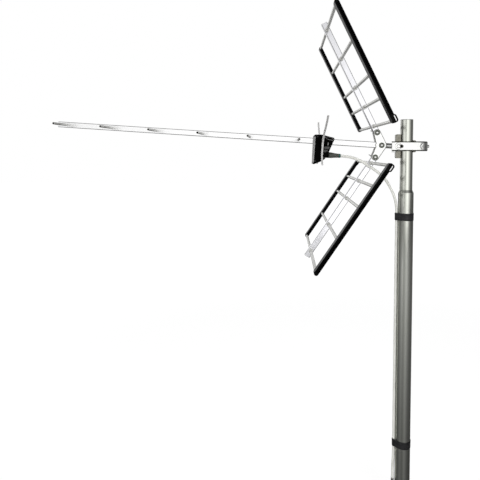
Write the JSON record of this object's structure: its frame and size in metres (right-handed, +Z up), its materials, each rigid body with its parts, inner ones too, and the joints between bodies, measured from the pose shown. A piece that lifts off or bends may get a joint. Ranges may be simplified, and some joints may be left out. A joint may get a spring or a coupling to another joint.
{
  "type": "uhf television antenna on a mast",
  "caption": "Outdoor UHF yagi antenna with a corner reflector of rods between ribbed rails, a dipole box, directors on a square boom, a mast clamp, a swaged mast and a taped coaxial cable.",
  "frame": {"origin": "centre of the mast's foot, on the axis of its open end", "axes": "+Z up along the mast, -X to the front of the boom, Y along every element rod"},
  "size_m": [1.0954, 0.534, 1.3867],
  "materials": {
    "mast_steel": "dull galvanised, streaked",
    "boom_aluminium": "satin extruded",
    "rod_aluminium": "drawn, satin",
    "clamp_steel": "bright zinc plated",
    "jaw_steel": "grey zinc plated",
    "fasteners": "zinc plated",
    "rail_plastic": "moulded, weathered black with a soft sheen",
    "box_plastic": "moulded black",
    "board": "lacquered circuit board",
    "connector_metal": "nickel plated",
    "boot_rubber": "moulded, dark grey-green",
    "ring_rubber": "dark green",
    "cable_jacket": "pale grey jacket, slightly glossy",
    "tape": "black insulating tape"
  },
  "bodies": {
    "root": {"mast_tube": "mast_steel", "boom_tube": "boom_aluminium", "director_1": "rod_aluminium", "director_2": "rod_aluminium", "director_3": "rod_aluminium", "director_4": "rod_aluminium", "director_5": "rod_aluminium", "director_6": "rod_aluminium", "upper_spine": "boom_aluminium", "lower_spine": "boom_aluminium", "upper_rod_1": "rod_aluminium", "upper_rod_2": "rod_aluminium", "upper_rod_3": "rod_aluminium", "upper_rod_4": "rod_aluminium", "upper_rod_5": "rod_aluminium", "lower_rod_1": "rod_aluminium", "lower_rod_2": "rod_aluminium", "lower_rod_3": "rod_aluminium", "lower_rod_4": "rod_aluminium", "lower_rod_5": "rod_aluminium", "upper_near_rail": "rail_plastic", "upper_far_rail": "rail_plastic", "lower_near_rail": "rail_plastic", "lower_far_rail": "rail_plastic", "upper_rod_clips": "rod_aluminium", "lower_rod_clips": "rod_aluminium", "near_hub_plate": "clamp_steel", "far_hub_plate": "clamp_steel", "hub_bolts": "fasteners", "hub_washers": "fasteners", "wing_nuts": "fasteners", "tail_block": "clamp_steel", "clamp_yoke": "clamp_steel", "front_jaw": "jaw_steel", "rear_jaw": "jaw_steel", "pressure_screw": "fasteners", "screw_nut": "fasteners", "cross_pin": "fasteners", "box_housing": "box_plastic", "box_cover": "box_plastic", "box_screws": "fasteners", "balun_board": "board", "coax_socket": "connector_metal", "near_dipole": "rod_aluminium", "far_dipole": "rod_aluminium", "near_holder": "box_plastic", "far_holder": "box_plastic", "dipole_screws": "fasteners", "cable_boot": "boot_rubber", "boot_ring": "ring_rubber", "coax_cable": "cable_jacket", "cable_plug": "connector_metal", "upper_tape": "tape", "lower_tape": "tape"}
  },
  "joints": []
}
